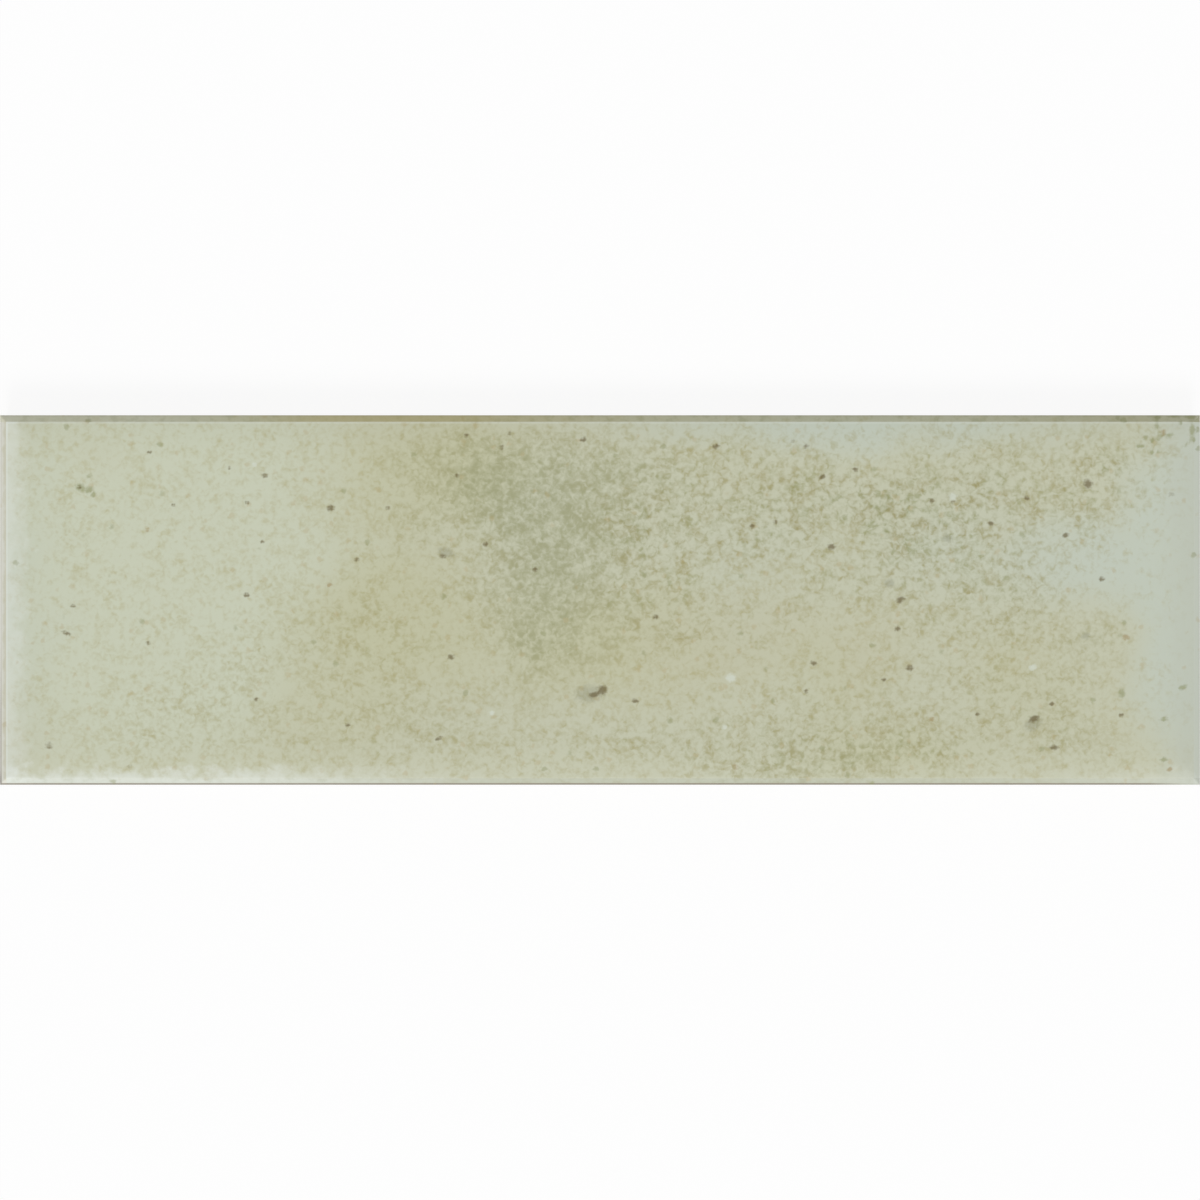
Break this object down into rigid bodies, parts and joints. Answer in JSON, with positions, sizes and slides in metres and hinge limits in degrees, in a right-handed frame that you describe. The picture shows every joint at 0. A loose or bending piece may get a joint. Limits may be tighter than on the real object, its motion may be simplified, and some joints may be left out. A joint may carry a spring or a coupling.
{
  "type": "matte glazed wall tile",
  "caption": "Long narrow ceramic wall tile with a matte mottled glaze, bevelled edge, softly rolled face and keyed back, bonded to a wall as cladding.",
  "frame": {"origin": "centre of the back, on the plane of its ribs and rim", "axes": "+X along the length, +Y across the width, +Z out of the glazed face"},
  "size_m": [0.2, 0.0616, 0.0085],
  "materials": {
    "glaze": "matte"
  },
  "bodies": {
    "root": {"tile": "glaze"}
  },
  "joints": []
}
